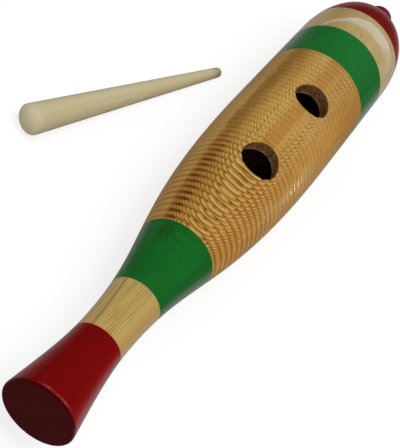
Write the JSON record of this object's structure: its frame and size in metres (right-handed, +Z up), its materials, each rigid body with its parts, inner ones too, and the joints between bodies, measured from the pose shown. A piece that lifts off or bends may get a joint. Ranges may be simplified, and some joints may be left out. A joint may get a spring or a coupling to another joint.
{
  "type": "fish-shaped guiro with scraper",
  "caption": "Turned wooden guiro shaped like a fish, hollow, with scored ridges, finger holes, painted bands and a plugged nose, and a loose tapered stick for scraping it.",
  "frame": {"origin": "centre of the flat tail face", "axes": "+X along the turning axis from tail to nose, +Z up through the finger holes, +Y to the side where the scraper lies"},
  "size_m": [0.4, 0.1417, 0.0648],
  "materials": {
    "lacquered_pine": "clear gloss lacquer, with red and green painted bands",
    "red_paint": "gloss red paint on turned wood",
    "pale_wood": "sanded, plain"
  },
  "bodies": {
    "guiro": {"fish_body": "lacquered_pine", "nose_cap": "red_paint"},
    "scraper": {"scraper": "pale_wood"}
  },
  "joints": [
    {"name": "scrape_stroke", "type": "slide", "parent": "guiro", "child": "scraper", "axis": [1, 0, 0], "range_m": [-0.16, 0]}
  ]
}
